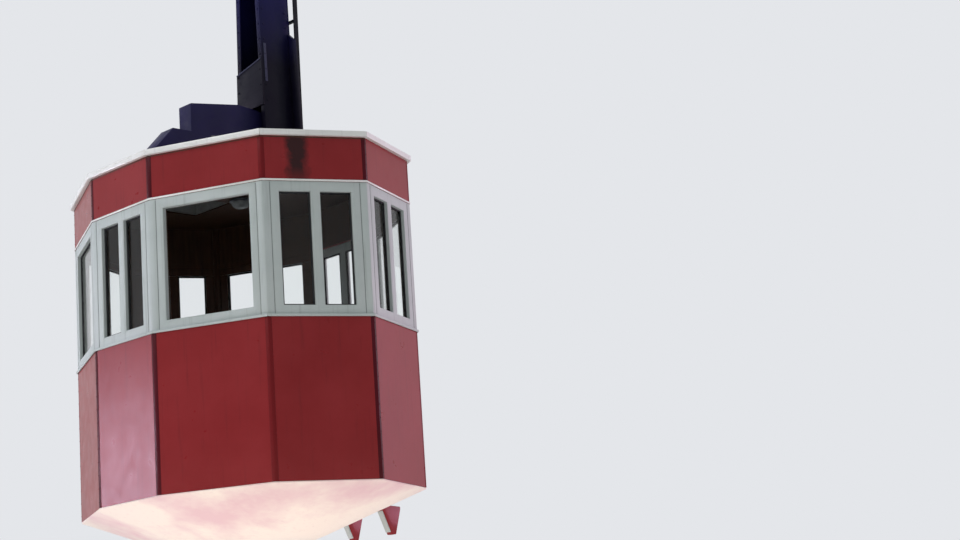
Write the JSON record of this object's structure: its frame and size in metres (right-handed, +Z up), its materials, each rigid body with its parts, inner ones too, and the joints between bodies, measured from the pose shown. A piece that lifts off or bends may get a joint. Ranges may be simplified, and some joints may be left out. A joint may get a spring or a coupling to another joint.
{
  "type": "cable car cabin with hanger and carriage",
  "caption": "Ten-sided aerial cable car cabin with a band of windows, an offset hanger and a carriage of grooved wheels that runs on one track rope.",
  "frame": {"origin": "on the axis of the track rope, under the middle of the carriage", "axes": "+X is the way of travel, +Y the door side, +Z up"},
  "size_m": [2.9718, 2.2478, 6.318],
  "materials": {
    "underside_paint": "pale cream enamel on sheet metal, weathered",
    "floor_boards": "worn floor boards",
    "corner_red": "dark red enamel corner strips",
    "body_red": "red enamel, semi-gloss, faded",
    "band_cream": "cream enamel, semi-gloss, greyed by weather",
    "window_glass": "clear flat glass",
    "trim_white": "cream-white enamel",
    "roof_paint": "grey roof paint, matt and weathered",
    "fitting_steel": "plain worn steel",
    "hanger_paint": "very dark blue-black paint on riveted plate",
    "ladder_paint": "dark grey paint on tube",
    "casting_paint": "painted steel casting",
    "carriage_paint": "dark blue-black paint, greasy",
    "pin_steel": "oiled turned steel",
    "wheel_iron": "cast steel, polished in the groove by the rope"
  },
  "bodies": {
    "carriage": {"main_beam": "carriage_paint", "main_pin": "pin_steel", "rockers": "carriage_paint", "rocker_pins": "pin_steel", "wheel_axles": "pin_steel", "track_brake": "carriage_paint", "haul_drop_plate": "carriage_paint", "haul_rope_bar": "carriage_paint"},
    "cabin": {"underside_panel": "underside_paint", "floor": "floor_boards", "lower_corner_posts": "corner_red", "window_corner_posts": "band_cream", "fascia_corner_posts": "corner_red", "side_lower_panel": "body_red", "quarter_lower_panels": "body_red", "nose_lower_panels": "body_red", "tail_lower_panels": "body_red", "fascia_panels": "body_red", "side_window_frame": "band_cream", "open_window_frame": "band_cream", "quarter_window_frames": "band_cream", "nose_window_frames": "band_cream", "tail_window_frames": "band_cream", "window_panes": "window_glass", "sill_moulding": "band_cream", "eaves_trim": "trim_white", "roof_deck": "roof_paint", "hatch_curb": "roof_paint", "door_threshold": "body_red", "side_guides": "body_red", "guide_strips": "band_cream", "door_hinge_tabs": "fitting_steel", "dropped_sash": "band_cream", "dropped_sash_pane": "window_glass", "handrails": "fitting_steel", "roof_beam": "hanger_paint", "sole_beams": "hanger_paint", "foot_plates": "hanger_paint", "hanger_legs": "hanger_paint", "hanger_back_plate": "hanger_paint", "hanger_tie_plates": "hanger_paint", "hanger_gussets": "hanger_paint", "hanger_ladder": "ladder_paint", "hanger_head": "casting_paint"},
    "door": {"door_lower_panel": "body_red", "door_window_frame": "band_cream", "door_panes": "window_glass", "door_hinge_knuckles": "fitting_steel", "door_handles": "fitting_steel"},
    "hatch": {"hatch_lid": "roof_paint"},
    "wheel_1": {"rope_wheel_1": "wheel_iron"},
    "wheel_2": {"rope_wheel_2": "wheel_iron"},
    "wheel_3": {"rope_wheel_3": "wheel_iron"},
    "wheel_4": {"rope_wheel_4": "wheel_iron"}
  },
  "joints": [
    {"name": "hanger_swing", "type": "hinge", "parent": "carriage", "child": "cabin", "pos_m": [0, 0.31, 0.43], "axis": [0, 1, 0], "range_deg": [-35, 35]},
    {"name": "door_hinge", "type": "hinge", "parent": "cabin", "child": "door", "pos_m": [0.3, 0.96093, -4.5], "axis": [0, 0, 1], "range_deg": [0, 90]},
    {"name": "hatch_hinge", "type": "hinge", "parent": "cabin", "child": "hatch", "pos_m": [-0.868, 0, -2.9887], "axis": [0, -1, 0], "range_deg": [0, 100]},
    {"name": "wheel_1_spin", "type": "hinge", "parent": "carriage", "child": "wheel_1", "pos_m": [-0.84, 0, 0.174], "axis": [0, 1, 0], "continuous": true},
    {"name": "wheel_2_spin", "type": "hinge", "parent": "carriage", "child": "wheel_2", "pos_m": [-0.4, 0, 0.174], "axis": [0, 1, 0], "continuous": true},
    {"name": "wheel_3_spin", "type": "hinge", "parent": "carriage", "child": "wheel_3", "pos_m": [0.4, 0, 0.174], "axis": [0, 1, 0], "continuous": true},
    {"name": "wheel_4_spin", "type": "hinge", "parent": "carriage", "child": "wheel_4", "pos_m": [0.84, 0, 0.174], "axis": [0, 1, 0], "continuous": true}
  ]
}
